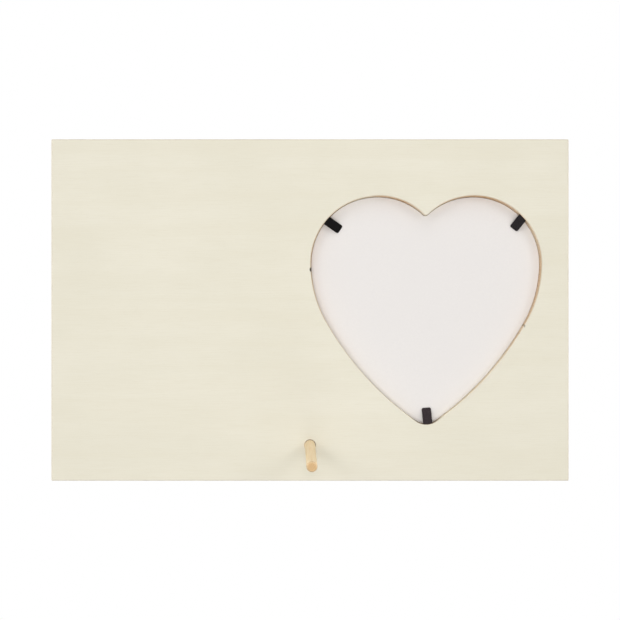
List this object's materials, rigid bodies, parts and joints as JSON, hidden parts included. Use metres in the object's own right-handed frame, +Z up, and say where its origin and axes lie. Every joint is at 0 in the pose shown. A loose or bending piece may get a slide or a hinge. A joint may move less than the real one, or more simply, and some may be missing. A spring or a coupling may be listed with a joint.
{
  "type": "heart window picture frame",
  "caption": "Landscape plywood picture frame with an off-centre heart-shaped window, flexible tabs that hold the backing card, and a round peg that it leans on.",
  "frame": {"origin": "on the standing surface, in the middle of the footprint", "axes": "+X along the frame's width, to the right as seen from the front; -Y is the way the picture faces; +Z up"},
  "size_m": [0.3, 0.0648, 0.1957],
  "materials": {
    "back_ply": "pale cream basswood plywood, sanded, unfinished",
    "front_ply": "pale cream basswood plywood, sanded, unfinished",
    "peg_wood": "plain birch dowel",
    "tab_steel": "black coated spring steel",
    "clear_acrylic": "clear acrylic, polished",
    "photo_paper": "blank satin photo paper",
    "white_card": "white card, matt"
  },
  "bodies": {
    "frame": {"back_sheet": "back_ply", "front_sheet": "front_ply", "tab_left_root": "tab_steel", "tab_right_root": "tab_steel", "tab_bottom_root": "tab_steel"},
    "backing": {"backing_board": "white_card"},
    "photo": {"photo_insert": "photo_paper"},
    "glazing": {"glazing": "clear_acrylic"},
    "tab_left": {"tab_left": "tab_steel"},
    "tab_right": {"tab_right": "tab_steel"},
    "tab_bottom": {"tab_bottom": "tab_steel"},
    "peg": {"peg": "peg_wood"}
  },
  "joints": [
    {"name": "tab_left_bend", "type": "hinge", "parent": "frame", "child": "tab_left", "pos_m": [-0.00984, 0.01303, 0.14724], "axis": [0.6388, -0.1735, -0.7496], "range_deg": [0, 115]},
    {"name": "tab_right_bend", "type": "hinge", "parent": "frame", "child": "tab_right", "pos_m": [-0.12345, 0.01342, 0.14891], "axis": [0.6833, 0.1646, 0.7114], "range_deg": [0, 119.2]},
    {"name": "tab_bottom_bend", "type": "hinge", "parent": "frame", "child": "tab_bottom", "pos_m": [-0.06845, -0.0135, 0.03261], "axis": [-0.9943, 0.024, 0.1035], "range_deg": [0, 117]},
    {"name": "backing_lift", "type": "slide", "parent": "frame", "child": "backing", "axis": [0, 0.9742, -0.2255], "range_m": [0, 0.048], "deforming": ["tab_left", "tab_right", "tab_bottom"]},
    {"name": "photo_lift", "type": "slide", "parent": "frame", "child": "photo", "axis": [0, 0.9742, -0.2255], "range_m": [0, 0.036]},
    {"name": "glazing_lift", "type": "slide", "parent": "frame", "child": "glazing", "axis": [0, 0.9742, -0.2255], "range_m": [0, 0.024]},
    {"name": "peg_pull", "type": "slide", "parent": "frame", "child": "peg", "axis": [-0.0209, 0.9375, -0.3474], "range_m": [0, 0.014]}
  ],
  "couplings": [
    {"joint": "photo_lift", "follows": "backing_lift", "ratio": 0.75},
    {"joint": "glazing_lift", "follows": "backing_lift", "ratio": 0.5}
  ]
}
